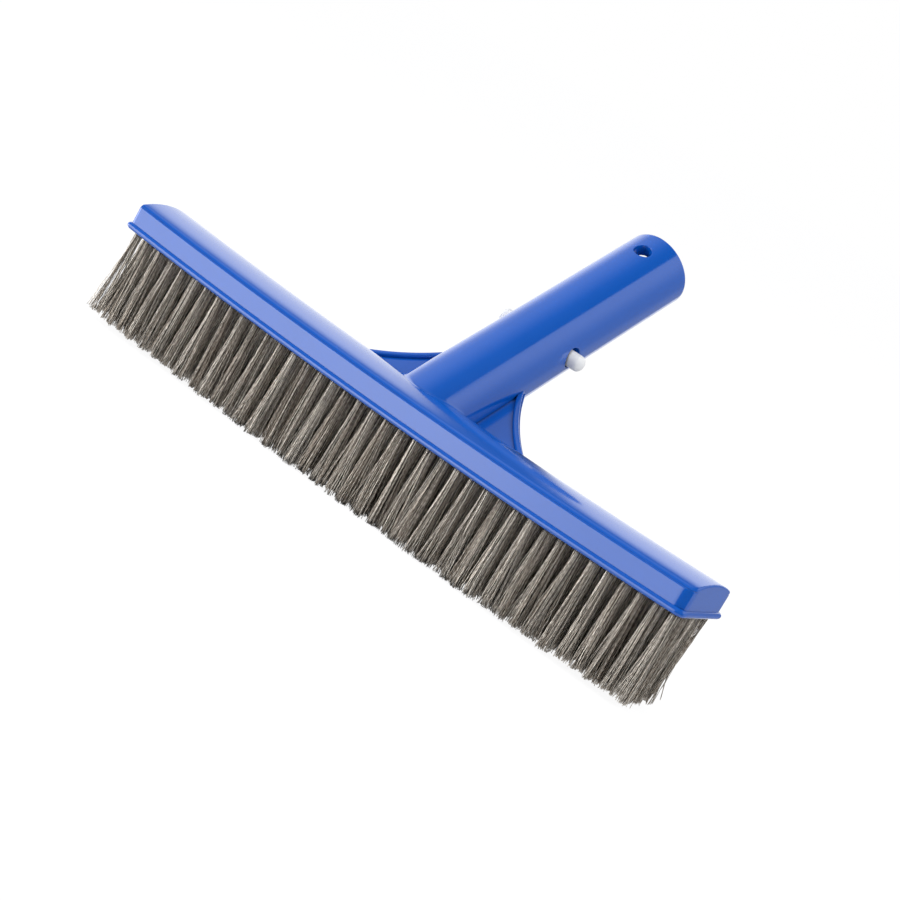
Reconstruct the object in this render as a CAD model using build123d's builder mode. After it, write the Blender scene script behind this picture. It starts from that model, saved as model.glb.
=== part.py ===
from build123d import *
import math
import os

# A wall brush for swimming pools: a long bowed head with five rows of stainless wire
# tufts, and a tubular handle at an angle behind it that slides into a pole and is held
# there by the two buttons of a spring clip.
# Millimetres and degrees. The origin is the middle of the face that the trimmed wires
# make. +X runs along the head, +Z points up out of the wires, the handle leans to +Y.

os.makedirs("parts", exist_ok=True)

# ---- driving dimensions ----
# Head
head_length = 255.0  # over the flange
head_width = 34.0  # over the flange
head_bow = 2.65  # how much higher the ends of the head are than its middle
flange_height = 2.5
flange_overhang = 1.0  # how far the flange stands proud of the wall above it
flange_corner = 3.0
flange_edge = 0.7
wall_height = 6.6  # of the upright wall above the flange
wall_edge = 0.4
crown_inset = 0.8  # the narrow ledge along each side of the crown; its ends are flush
crown_step = 0.6  # how far the crown's side rises above the ledge
crown_rise = 2.5  # of the crown's arch over its sides
crown_edge = 2.0
# Tufts
bristle_length = 33.4  # free wire below the flange
tip_trim = 0.5  # the middle of the bowed face is trimmed flat by this much
row_count = 5
row_inset = 5.1  # from the flange's long edge to the outer row
tuft_pitch = 6.344
tuft_end_margin = 3.0  # the least distance from a tuft's middle to the end of the flange
bank_names = ("left", "middle", "right")  # each row is set in three lengths
rim_wall = 1.5  # of the head at the ends of the slices that hold the tufts
slice_height = 3.0
slice_clearance = 0.05
strand_root_wide = 1.2
strand_root_deep = 1.7
strand_tip_wide = 1.4
strand_tip_deep = 1.9
strand_root_offset = 0.85  # of each half of a tuft from the tuft's middle
strand_tip_offset = 1.6
strand_root_sunk = 0.8  # how deep the wires are set in the slice
anchor_length = 3.4
anchor_thickness = 0.45
anchor_height = 1.8
anchor_clearance = 0.05
# Handle
handle_angle = 36.0  # of the handle above the face of the wires
handle_root_y = 7.2  # where the handle's axis meets the flange's underside
handle_reach = 134.4  # along the axis from there to the open end
handle_radius = 14.25
handle_draft = 0.25  # taper of the moulding from the straight end to the root
handle_wall = 4.5
handle_rim = 0.7  # rounding of the open end's outer edge
bore_floor = 28.0  # along the axis, from the root
spigot_start = 73.5  # where the straight end of the handle begins
root_depth = 3.0  # the handle's root is sunk this far below its start, inside the head
button_hole_station = 68.65  # along the axis
button_hole_radius = 3.95
end_hole_inset = 11.8  # from the open end
end_hole_radius = 3.5
# Gussets
gusset_drop = 2.7  # below the handle's axis
gusset_top = 42.5  # along the handle's axis
gusset_waist_station = 28.0
gusset_waist_reach = 24.3  # from the handle's axis, out along X
gusset_foot_station = 9.0
gusset_foot_reach = 48.0
gusset_panel = 2.4
gusset_rim_width = 2.2
gusset_rim_thickness = 5.0
# Spring clip
clip_width = 8.0
clip_thickness = 1.8
clip_clearance = 0.3
clip_hinge_gap = 0.3
clip_arm_length = 36.0  # from the hinge line to the free end
button_lead = 0.65  # nearer the root than its hole's middle: pressed in, it swings outward
button_radius = 3.05
button_proud = 5.4
button_dome = 1.9

# ---- worked out from them ----
half_length = head_length / 2
bow_radius = (half_length**2 + head_bow**2) / (2 * head_bow)
flange_base = bristle_length - tip_trim
flange_top = flange_base + flange_height
wall_top = flange_top + wall_height
crown_side = wall_top + crown_step
crown_top = crown_side + crown_rise
slice_top = flange_base + slice_height
wall_length = head_length - 2 * flange_overhang
wall_width = head_width - 2 * flange_overhang
crown_width = wall_width - 2 * crown_inset
wall_corner = flange_corner - flange_overhang / 2
crown_corner = wall_corner - crown_inset / 2
row_spacing = (head_width - 2 * row_inset) / (row_count - 1)
row_tufts = int((head_length - 2 * tuft_end_margin) / tuft_pitch) + 1
pocket_length = head_length - 2 * rim_wall
pocket_width = row_count * row_spacing

tilt_cos = math.cos(math.radians(handle_angle))
tilt_sin = math.sin(math.radians(handle_angle))
handle_direction = (0, tilt_cos, tilt_sin)
handle_upward = (0, -tilt_sin, tilt_cos)
bore_radius = handle_radius - handle_wall
root_length = spigot_start + root_depth
root_radius = handle_radius + root_length * math.tan(math.radians(handle_draft))
crown_turn = math.degrees(math.asin(head_length / bow_radius))  # well past each end
turn_cos = math.cos(math.radians(crown_turn))
turn_sin = math.sin(math.radians(crown_turn))

arm_outer = math.sqrt((bore_radius - clip_clearance) ** 2 - (clip_width / 2) ** 2)
arm_inner = arm_outer - clip_thickness
arm_middle = arm_outer - clip_thickness / 2
bend_station = bore_floor + clip_clearance + arm_outer
arm_hinge_station = bend_station + clip_hinge_gap + clip_thickness / 2
arm_tip_station = arm_hinge_station + clip_arm_length
button_station = button_hole_station - button_lead
end_hole_station = handle_reach - end_hole_inset
button_tip = handle_radius + button_proud
dome_radius = (button_radius**2 + button_dome**2) / (2 * button_dome)
dome_half_angle = math.asin(button_radius / dome_radius) / 2


def rise(x):
    """How much the bowed head has risen at x: an arc through the middle and the ends."""
    return bow_radius - math.sqrt(bow_radius**2 - x**2)


def on_handle(along):
    """A point on the handle's axis."""
    return (0, handle_root_y + along * tilt_cos, flange_base + along * tilt_sin)


def bowed_side(x_low, x_high, z_low, z_high):
    """Side view of a length of the bowed head: two arcs of the bow and upright ends."""
    x_mid = (x_low + x_high) / 2
    low = [(x, z_low + rise(x)) for x in (x_low, x_mid, x_high)]
    high = [(x, z_high + rise(x)) for x in (x_high, x_mid, x_low)]
    with BuildLine() as outline:
        ThreePointArc(*low)
        Line(low[-1], high[0])
        ThreePointArc(*high)
        Line(high[-1], low[0])
    return outline.line


# The handle's own planes: one through its axis and X, and one square across it.
handle_flat = Plane(origin=on_handle(0), x_dir=(1, 0, 0), z_dir=handle_upward)
handle_side = Plane(origin=on_handle(0), x_dir=handle_direction, z_dir=(1, 0, 0))
handle_axis = Axis(on_handle(0), handle_direction)

# ---- head ----
# Three stacked layers with rounded corners, each bowed above and below.
with BuildPart() as flange:
    with BuildSketch(Plane.XY):
        RectangleRounded(head_length, head_width, flange_corner)
    extrude(amount=crown_top + head_length)
    with BuildSketch(Plane.XZ):
        add(bowed_side(-head_length, head_length, flange_base, flange_top))
        make_face()
    extrude(amount=head_width, both=True, mode=Mode.INTERSECT)
    fillet(flange.faces().sort_by(Axis.Z)[0].edges(), flange_edge)
    fillet(flange.faces().sort_by(Axis.Z)[-1].edges(), flange_edge)

with BuildPart() as wall:
    with BuildSketch(Plane.XY):
        RectangleRounded(wall_length, wall_width, wall_corner)
    extrude(amount=crown_top + head_length)
    with BuildSketch(Plane.XZ):
        add(bowed_side(-head_length, head_length, flange_base + flange_height / 2, wall_top))
        make_face()
    extrude(amount=head_width, both=True, mode=Mode.INTERSECT)
    fillet(wall.faces().sort_by(Axis.Z)[-1].edges(), wall_edge)

# The crown's arch runs round the same bow: an arc of a turned ring, cut to its plan.
crown_centre = crown_top + bow_radius
crown_start = Plane(
    origin=(-crown_centre * turn_sin, 0, crown_centre * (1 - turn_cos)),
    x_dir=(0, 1, 0),
    z_dir=(turn_cos, 0, -turn_sin),
)
with BuildPart() as crown:
    with BuildSketch(crown_start):
        with BuildLine():
            Line((-crown_width / 2, crown_side), (-crown_width / 2, flange_top))
            Line((-crown_width / 2, flange_top), (crown_width / 2, flange_top))
            Line((crown_width / 2, flange_top), (crown_width / 2, crown_side))
            ThreePointArc((crown_width / 2, crown_side), (0, crown_top), (-crown_width / 2, crown_side))
        make_face()
    revolve(axis=Axis((0, 0, crown_centre), (0, -1, 0)), revolution_arc=2 * crown_turn)
    with BuildSketch(Plane.XY.offset(flange_base)):
        RectangleRounded(wall_length, crown_width, crown_corner)
    extrude(amount=crown_top - flange_base + 2 * head_bow, mode=Mode.INTERSECT)
    fillet(crown.faces().sort_by(Axis.Z)[-1].edges(), crown_edge)

with BuildPart() as head_outside:
    add(flange.part)
    add(wall.part)
    add(crown.part)

with BuildPart() as brush_head:
    add(head_outside.part)
    with BuildSketch(Plane.XZ):
        add(bowed_side(-pocket_length / 2, pocket_length / 2, flange_base - flange_height, slice_top))
        make_face()
    extrude(amount=pocket_width / 2, both=True, mode=Mode.SUBTRACT)
brush_head.part.label = "brush_head"
export_step(brush_head.part, "parts/brush_head.step")

# ---- handle ----
# The outside of the handle: a slightly tapered root and a straight end for the pole.
with BuildPart() as handle_outside:
    with BuildSketch(handle_side):
        with BuildLine():
            Polyline(
                (-root_depth, 0),
                (-root_depth, root_radius),
                (spigot_start, handle_radius),
                (handle_reach, handle_radius),
                (handle_reach, 0),
                close=True,
            )
        make_face()
    revolve(axis=handle_axis, revolution_arc=360)

with BuildPart() as handle_moulding:
    add(handle_outside.part)
    with BuildSketch(handle_side):
        with Locations(((bore_floor + handle_reach) / 2, bore_radius / 2)):
            Rectangle(handle_reach - bore_floor, bore_radius)
    revolve(axis=handle_axis, revolution_arc=360, mode=Mode.SUBTRACT)
    open_end = handle_moulding.faces().filter_by(GeomType.PLANE).sort_by(handle_axis)[-1]
    fillet(open_end.edges(), handle_rim)
    # The buttons' holes, one on each side, and the hole through the open end.
    with BuildSketch(Plane(origin=on_handle(button_hole_station), z_dir=(1, 0, 0))):
        Circle(button_hole_radius)
    extrude(amount=root_radius, both=True, mode=Mode.SUBTRACT)
    with BuildSketch(Plane(origin=on_handle(end_hole_station), z_dir=handle_upward)):
        Circle(end_hole_radius)
    extrude(amount=root_radius, both=True, mode=Mode.SUBTRACT)
    # The foot is flush with the top of the flange and meets the head's own faces.
    with Locations((0, 0, flange_top)):
        Box(
            head_length,
            4 * handle_reach,
            4 * handle_reach,
            align=(Align.CENTER, Align.CENTER, Align.MAX),
            mode=Mode.SUBTRACT,
        )
    add(head_outside.part, mode=Mode.SUBTRACT)

# The tapered root holds the clip; the straight end from there on is what the pole takes.
spigot_plane = Plane(origin=on_handle(spigot_start), z_dir=handle_direction)
with BuildPart() as handle_root:
    add(handle_moulding.part)
    split(bisect_by=spigot_plane, keep=Keep.BOTTOM)
handle_root.part.label = "handle_root"
export_step(handle_root.part, "parts/handle_root.step")

with BuildPart() as handle_spigot:
    add(handle_moulding.part)
    split(bisect_by=spigot_plane, keep=Keep.TOP)
handle_spigot.part.label = "handle_spigot"
export_step(handle_spigot.part, "parts/handle_spigot.step")

# ---- gussets ----
# A web with a thick rim fills each corner between the handle and the back of the head.
with BuildPart() as gusset_outside:
    with BuildSketch(handle_flat.offset(-gusset_drop)) as gusset_web:
        with BuildLine():
            gusset_curve = ThreePointArc(
                (gusset_foot_reach, gusset_foot_station),
                (gusset_waist_reach, gusset_waist_station),
                (handle_radius, gusset_top),
            )
            Polyline(
                (handle_radius, gusset_top),
                (0, gusset_top),
                (0, gusset_foot_station / 2),
                (gusset_foot_reach, gusset_foot_station / 2),
                (gusset_foot_reach, gusset_foot_station),
            )
        make_face()
    extrude(amount=gusset_panel / 2, both=True)
    with BuildSketch(handle_flat.offset(-gusset_drop)):
        add(gusset_web.sketch_local)
        with Locations(gusset_curve.arc_center):
            Circle(gusset_curve.radius + gusset_rim_width, mode=Mode.INTERSECT)
    extrude(amount=gusset_rim_thickness / 2, both=True)

with BuildPart() as gusset_right:
    add(gusset_outside.part)
    with Locations((0, wall_width / 2, flange_top)):
        Box(
            head_length,
            head_length,
            head_length,
            align=(Align.CENTER, Align.MIN, Align.MIN),
            mode=Mode.INTERSECT,
        )
    add(handle_outside.part, mode=Mode.SUBTRACT)
    add(head_outside.part, mode=Mode.SUBTRACT)
gusset_right.part.label = "gusset_right"
export_step(gusset_right.part, "parts/gusset_right.step")

with BuildPart() as gusset_left:
    add(mirror(gusset_right.part, about=Plane.YZ))
gusset_left.part.label = "gusset_left"
export_step(gusset_left.part, "parts/gusset_left.step")

# ---- spring clip ----
# A flat strip bent to a U at the bottom of the bore. Each arm swings in about the end
# of the bend, and carries a button that stands out through its hole.
with BuildPart() as clip_bend:
    with BuildSketch(handle_flat):
        with Locations((0, bend_station)):
            Circle(arm_outer)
            Circle(arm_inner, mode=Mode.SUBTRACT)
            Rectangle(
                2 * arm_outer,
                arm_outer,
                align=(Align.CENTER, Align.MAX),
                mode=Mode.INTERSECT,
            )
    extrude(amount=clip_width / 2, both=True)
clip_bend.part.label = "clip_bend"
export_step(clip_bend.part, "parts/clip_bend.step")

with BuildPart() as clip_arm_right:
    with BuildSketch(handle_flat):
        with Locations((arm_middle, arm_hinge_station)):
            Circle(clip_thickness / 2)
            Rectangle(clip_thickness, clip_arm_length, align=(Align.CENTER, Align.MIN))
    extrude(amount=clip_width / 2, both=True)
    with BuildSketch(handle_flat):
        with BuildLine():
            Line((arm_middle, button_station), (arm_middle, button_station + button_radius))
            Line(
                (arm_middle, button_station + button_radius),
                (button_tip - button_dome, button_station + button_radius),
            )
            ThreePointArc(
                (button_tip - button_dome, button_station + button_radius),
                (
                    button_tip - dome_radius + dome_radius * math.cos(dome_half_angle),
                    button_station + dome_radius * math.sin(dome_half_angle),
                ),
                (button_tip, button_station),
            )
            Line((button_tip, button_station), (arm_middle, button_station))
        make_face()
    revolve(axis=Axis(on_handle(button_station), (1, 0, 0)), revolution_arc=360)
clip_arm_right.part.label = "clip_arm_right"
export_step(clip_arm_right.part, "parts/clip_arm_right.step")

with BuildPart() as clip_arm_left:
    add(mirror(clip_arm_right.part, about=Plane.YZ))
clip_arm_left.part.label = "clip_arm_left"
export_step(clip_arm_left.part, "parts/clip_arm_left.step")

# ---- tufts ----
# A tuft is two four-sided strands that splay apart along the row.
with BuildPart() as strand_right:
    with BuildSketch(Plane.XY.offset(-tip_trim)):
        with Locations((strand_tip_offset, 0)):
            Rectangle(strand_tip_wide, strand_tip_deep)
    with BuildSketch(Plane.XY.offset(flange_base + strand_root_sunk)):
        with Locations((strand_root_offset, 0)):
            Rectangle(strand_root_wide, strand_root_deep)
    loft(ruled=True)

with BuildPart() as strand_left:
    add(mirror(strand_right.part, about=Plane.YZ))

# Each row is set in three slices of the head, and the middle of its wires is trimmed
# flat. The rows are square to each other, with a tuft of each at every step.
anchor_middle = slice_top - anchor_clearance - anchor_height / 2
tuft_x = [(index - (row_tufts - 1) / 2) * tuft_pitch for index in range(row_tufts)]
for row in range(row_count):
    row_y = (row - (row_count - 1) / 2) * row_spacing
    for bank, bank_name in enumerate(bank_names):
        first = round(bank * row_tufts / len(bank_names))
        last = round((bank + 1) * row_tufts / len(bank_names))
        slice_low = max((first - row_tufts / 2) * tuft_pitch, -pocket_length / 2)
        slice_high = min((last - row_tufts / 2) * tuft_pitch, pocket_length / 2)
        if first == 0:
            slice_low = -pocket_length / 2
        if last == row_tufts:
            slice_high = pocket_length / 2
        bank_x = tuft_x[first:last]
        with BuildPart() as tuft_bank:
            with BuildSketch(Plane.XZ.offset(-row_y)):
                add(
                    bowed_side(
                        slice_low + slice_clearance,
                        slice_high - slice_clearance,
                        flange_base,
                        slice_top,
                    )
                )
                make_face()
            extrude(amount=row_spacing / 2 - slice_clearance, both=True)
            with Locations([(x, row_y, anchor_middle + rise(x)) for x in bank_x]):
                Box(
                    anchor_length + 2 * anchor_clearance,
                    anchor_thickness + 2 * anchor_clearance,
                    anchor_height + 4 * anchor_clearance,
                    mode=Mode.SUBTRACT,
                )
            strands = []
            for x in bank_x:
                tuft_place = Location((x, row_y, rise(x)))
                strands.append(strand_left.part.moved(tuft_place))
                strands.append(strand_right.part.moved(tuft_place))
            add(strands)
            with Locations((0, 0, 0)):
                Box(
                    2 * head_length,
                    2 * head_width,
                    2 * tip_trim,
                    align=(Align.CENTER, Align.CENTER, Align.MAX),
                    mode=Mode.SUBTRACT,
                )
        tuft_name = f"tuft_row_{row + 1}_{bank_name}"
        tuft_bank.part.label = tuft_name
        export_step(tuft_bank.part, f"parts/{tuft_name}.step")
    with BuildPart() as tuft_anchors:
        with Locations([(x, row_y, anchor_middle + rise(x)) for x in tuft_x]):
            Box(anchor_length, anchor_thickness, anchor_height)
    anchors_name = f"tuft_anchors_row_{row + 1}"
    tuft_anchors.part.label = anchors_name
    export_step(tuft_anchors.part, f"parts/{anchors_name}.step")
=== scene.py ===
import bpy
import bmesh
import math
import numpy as np
from mathutils import Matrix, Vector


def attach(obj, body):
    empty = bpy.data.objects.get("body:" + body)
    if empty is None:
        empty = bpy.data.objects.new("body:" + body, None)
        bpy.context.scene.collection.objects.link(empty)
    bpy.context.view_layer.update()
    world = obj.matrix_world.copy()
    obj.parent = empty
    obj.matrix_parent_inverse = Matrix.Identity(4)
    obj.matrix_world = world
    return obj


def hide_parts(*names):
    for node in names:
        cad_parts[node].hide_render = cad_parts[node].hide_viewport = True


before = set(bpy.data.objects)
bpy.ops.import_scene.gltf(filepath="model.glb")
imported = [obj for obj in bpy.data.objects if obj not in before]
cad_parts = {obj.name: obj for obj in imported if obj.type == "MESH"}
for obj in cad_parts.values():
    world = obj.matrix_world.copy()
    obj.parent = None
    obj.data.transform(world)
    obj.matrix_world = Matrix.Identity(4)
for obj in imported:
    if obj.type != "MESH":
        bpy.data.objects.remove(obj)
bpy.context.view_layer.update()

# ---------------------------------------------------------------------------
# The studio: a white sweep of floor under three soft lamps. The brush stands on its wires,
# seen from the front and a little above. The camera is rolled to the right, which lays the
# head across the picture.
camera_data = bpy.data.cameras.new("camera")
camera_data.lens = 84.85
camera_data.shift_y = 0.0005
camera_data.sensor_width = 36.0
camera_data.clip_start = 0.05
camera_data.clip_end = 30.0
camera = bpy.data.objects.new("camera", camera_data)
bpy.context.scene.collection.objects.link(camera)
camera_place = Vector((0.3387162, -0.6159243, 0.1652682))
camera_right = Vector((0.7293915, 0.4793949, 0.4880252))
camera_up = Vector((-0.5159862, -0.0828636, 0.8525795))
camera_back = camera_right.cross(camera_up)
camera_turn = Matrix((camera_right, camera_up, camera_back)).transposed().to_4x4()
camera.matrix_world = Matrix.Translation(camera_place) @ camera_turn
bpy.context.scene.camera = camera
bpy.context.scene.view_settings.view_transform = "Standard"


def set_inputs(tree, node, inputs):
    """Give each input of a node its plain value, or a link from another node's output."""
    for socket, value in inputs.items():
        if isinstance(value, bpy.types.NodeSocket):
            tree.links.new(value, node.inputs[socket])
        else:
            node.inputs[socket].default_value = value


def add_node(tree, kind, inputs=None, **options):
    """A new node, whose options are set first and its inputs after them."""
    node = tree.nodes.new(kind)
    for option, value in options.items():
        setattr(node, option, value)
    set_inputs(tree, node, inputs or {})
    return node


def worked_out(tree, operation, *values, **options):
    """The output of a Math node that does one operation on the values."""
    inputs = dict(enumerate(values))
    return add_node(tree, "ShaderNodeMath", inputs, operation=operation, **options).outputs[0]


world = bpy.data.worlds.new("white_studio")
bpy.context.scene.world = world
world.use_nodes = True
sky = world.node_tree
sky.nodes.clear()
sky_place = add_node(sky, "ShaderNodeTexCoord")
sky_way = add_node(sky, "ShaderNodeSeparateXYZ", {0: sky_place.outputs["Generated"]})


def sky_blend(factor, first, second):
    """First where factor is 0, and second where it is 1."""
    blend = add_node(sky, "ShaderNodeMix", {"Factor": factor, "A": first, "B": second})
    return blend.outputs["Result"]


def sky_edge(axis, begin, end, below, above):
    """Below up to begin and above from end, along an axis of the direction; smooth between."""
    span = {"Value": sky_way.outputs[axis], "From Min": begin, "From Max": end}
    fade = add_node(sky, "ShaderNodeMapRange", span, interpolation_type="SMOOTHSTEP")
    return sky_blend(fade.outputs["Result"], below, above)


# What the plastic and the wires mirror, as brightness by direction. Behind on the left is a
# white wall with a dark post in it and a dark band over it. Behind on the right is a grey
# screen with a sharp upper edge. In front on the left is a bright screen, and nothing on the
# right. The ceiling darkens to the right. A strip lamp stands low on the front left, and
# lights the left sides of the wires.
ceiling = sky_edge("X", -0.85, 0.20, 0.42, 0.01)
left_wall = sky_edge("Y", 0.40, 0.70, 0.50, 1.30)
left_low = sky_edge("Z", 0.05, 0.25, 1.25, left_wall)
post = sky_edge("X", -0.478, -0.466, 0.0, 1.0)
post = sky_edge("X", -0.422, -0.408, post, 0.0)
post = sky_edge("Y", 0.50, 0.60, 0.0, post)
wall = sky_blend(post, left_low, 0.03)
over_wall = sky_edge("Y", 0.42, 0.56, ceiling, 0.07)
behind_left = sky_edge("Z", 0.52, 0.66, wall, over_wall)
right_low = sky_edge("Z", -0.12, 0.02, 0.40, 0.28)
right_screen = sky_edge("Z", 0.28, 0.78, right_low, 0.56)
behind_right = sky_edge("Z", 0.875, 0.895, right_screen, ceiling)
front_left = sky_edge("X", -0.47, -0.36, 1.46, 0.98)
front_panel = sky_edge("X", -0.27, -0.22, front_left, 0.01)
front = sky_edge("Z", 0.12, 0.40, front_panel, 0.05)
left_half = sky_edge("Y", -0.14, 0.06, front, behind_left)
right_half = sky_edge("Y", 0.10, 0.16, front, behind_right)
around = sky_edge("X", -0.06, 0.06, left_half, right_half)
strip_lamp = sky_edge("Z", 0.00, 0.15, 2.4, 0.0)
strip_lamp = sky_edge("Y", -0.40, -0.28, strip_lamp, 0.0)
strip_lamp = sky_edge("X", -0.82, -0.72, strip_lamp, 0.0)
lit = worked_out(sky, "ADD", around, strip_lamp)
mirrored = sky_edge("Z", -0.75, -0.45, 0.35, lit)

white = (1.0, 1.0, 1.0, 1.0)
sky_light = add_node(sky, "ShaderNodeBackground", {"Color": white, "Strength": 0.60})
sky_gloss = add_node(sky, "ShaderNodeBackground", {"Color": white, "Strength": mirrored})
sky_white = add_node(sky, "ShaderNodeBackground", {"Color": white, "Strength": 1.0})
sky_path = add_node(sky, "ShaderNodeLightPath")
sky_lit = add_node(
    sky,
    "ShaderNodeMixShader",
    {0: sky_path.outputs["Is Glossy Ray"], 1: sky_light.outputs[0], 2: sky_gloss.outputs[0]},
)
sky_seen = add_node(
    sky,
    "ShaderNodeMixShader",
    {0: sky_path.outputs["Is Camera Ray"], 1: sky_lit.outputs[0], 2: sky_white.outputs[0]},
)
add_node(sky, "ShaderNodeOutputWorld", {"Surface": sky_seen.outputs[0]})


def soft_lamp(name, place, target, side, power):
    """A square lamp of a side and a power, at place and facing target."""
    lamp_data = bpy.data.lights.new(name, "AREA")
    lamp_data.size = side
    lamp_data.energy = power
    lamp = bpy.data.objects.new(name, lamp_data)
    bpy.context.scene.collection.objects.link(lamp)
    lamp.location = place
    lamp.rotation_mode = "QUATERNION"
    lamp.rotation_quaternion = (Vector(target) - Vector(place)).to_track_quat("-Z", "Y")
    lamp.visible_camera = False
    lamp.visible_glossy = False


soft_lamp("left_softbox", (-1.15, -0.70, 0.40), (0.0, 0.0, 0.04), 0.6, 12.0)
soft_lamp("top_softbox", (-0.25, -0.70, 1.30), (0.0, 0.02, 0.04), 0.8, 4.5)
soft_lamp("right_softbox", (1.00, -0.15, 0.90), (0.0, 0.02, 0.04), 0.7, 6.0)

# The floor shows the camera a white that only the brush's own soft shadow dims. What the
# plastic mirrors below the brush is the same set of panels, so the floor isn't mirrored.
floor_reach = 12.0
floor_level = -0.0002
floor_mesh = bpy.data.meshes.new("floor")
floor_mesh.from_pydata(
    [
        (floor_reach * x, floor_reach * y, floor_level)
        for x, y in ((-1, -1), (1, -1), (1, 1), (-1, 1))
    ],
    [],
    [(0, 1, 2, 3)],
)
floor = bpy.data.objects.new("floor", floor_mesh)
bpy.context.scene.collection.objects.link(floor)
floor.visible_glossy = False
floor_paint = bpy.data.materials.new("floor_white")
floor_paint.use_nodes = True
paint = floor_paint.node_tree
paint.nodes.clear()
floor_plain = add_node(paint, "ShaderNodeBsdfDiffuse", {"Color": (0.80, 0.80, 0.80, 1.0)})
floor_shaded = add_node(paint, "ShaderNodeBsdfDiffuse", {"Color": (0.12, 0.12, 0.125, 1.0)})
floor_glow = add_node(paint, "ShaderNodeEmission", {"Color": white, "Strength": 0.925})
floor_bright = add_node(
    paint, "ShaderNodeAddShader", {0: floor_shaded.outputs[0], 1: floor_glow.outputs[0]}
)
floor_path = add_node(paint, "ShaderNodeLightPath")
floor_seen = add_node(
    paint,
    "ShaderNodeMixShader",
    {
        0: floor_path.outputs["Is Camera Ray"],
        1: floor_plain.outputs[0],
        2: floor_bright.outputs[0],
    },
)
add_node(paint, "ShaderNodeOutputMaterial", {"Surface": floor_seen.outputs[0]})
floor_mesh.materials.append(floor_paint)

# ---------------------------------------------------------------------------
# The head: one injection moulding in glossy blue plastic, bowed so that its ends stand
# higher than its middle. It has a flange at the foot, an upright wall, a narrow ledge and
# an arched crown. The wires are set in its underside.
millimetre = 0.001
head_half_length = 127.5
head_half_width = 17.0
head_bow = 2.65
head_base = 32.9  # the flange's underside over the wire tips, at mid-length
underside_insets = (16.99, 14.0, 10.0, 6.0, 3.0)
flange_height = 2.5
flange_overhang = 1.0
flange_round = 1.25
flange_corner = (1.8, 3.0)  # at the left end and at the right end
wall_top = 9.1  # over the flange's underside, as crown_side is
wall_lifts = (-0.01, 0.15, 0.6, 2.6, 4.6, 5.6)  # of the wall's rows, over the flange's top
wall_round = 0.6
wall_corner = (1.6, 3.5)
crown_inset = 1.8
crown_side = 9.7
crown_rise = 2.5
crown_round = 2.0
crown_end_round = 0.8
crown_end_fade = 1.5  # length over which the edge goes from its side's round to its end's
crown_hidden = 0.41  # how far the crown's foot goes on inside the ledge
crown_corner_less = 0.2  # than the wall's corner
crown_ridge_gap = 0.01
crown_edge_rows, crown_arch_rows = 14, 24
crown_row_gap = 0.5
bow_radius = (head_half_length**2 + head_bow**2) / (2 * head_bow)
crown_half_width = head_half_width - crown_inset
arch_radius = (crown_half_width**2 + crown_rise**2) / (2 * crown_rise)
ring_side_steps = (22, 150, 22, 150)  # of the right end, the back, the left end, the front
ring_corner_steps = 9
ring_corner_least = 0.3


def bow_rise(x):
    """Height that the bow adds at x: the drop of a circle of bow_radius, upside down."""
    return bow_radius - np.sqrt(bow_radius**2 - x**2)


def crown_arch(y):
    """Height of the crown's arch over its sides at y: a circle through sides and middle."""
    inside = np.clip(np.abs(y), 0.0, crown_half_width)
    return np.sqrt(arch_radius**2 - inside**2) - (arch_radius - crown_rise)


def crown_drop(inside):
    """Drop of the crown's rounded edge at a distance in from its foot: a quarter circle."""
    short = np.clip(crown_round - inside, 0.0, crown_round)
    return crown_round - np.sqrt(crown_round**2 - short**2)


def rounded_ring(end_inset, side_inset, corners):
    """Plan points of a rounded rectangle, inset from the flange's outline at ends and sides.

    Each side is even steps between its corners; each corner is a quarter circle, of one
    radius at the left end and another at the right end.
    """
    half_x = head_half_length - end_inset
    half_y = head_half_width - side_inset
    turn = np.linspace(0.0, math.pi / 2, ring_corner_steps)
    arcs = []
    for sign_x, sign_y, begin in ((1, -1, -0.5), (1, 1, 0.0), (-1, 1, 0.5), (-1, -1, 1.0)):
        corner = min(max(corners[(sign_x + 1) // 2], ring_corner_least), half_y)
        angle = begin * math.pi + turn
        arc_x = sign_x * (half_x - corner) + corner * np.cos(angle)
        arc_y = sign_y * (half_y - corner) + corner * np.sin(angle)
        arcs.append(np.column_stack([arc_x, arc_y]))
    loop = []
    for here, steps in enumerate(ring_side_steps):
        first, last = arcs[here][-1], arcs[(here + 1) % 4][0]
        along = np.linspace(0.0, 1.0, steps + 1)[1:-1, None]
        loop += [arcs[here], first + (last - first) * along]
    return np.concatenate(loop)


def quarter(count):
    """Sines and cosines of even steps from nought to a right angle."""
    angle = np.linspace(0.0, math.pi / 2, count)
    return np.sin(angle), np.cos(angle)


def loop_faces(rows, columns, start=0):
    """Four-cornered faces of a grid of points, with the last column joined to the first."""
    row, column = np.meshgrid(np.arange(rows - 1), np.arange(columns), indexing="ij")
    here = row * columns + column
    beside = row * columns + (column + 1) % columns
    faces = np.stack([here, beside, beside + columns, here + columns], -1)
    return faces.reshape(-1, 4) + start


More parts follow.
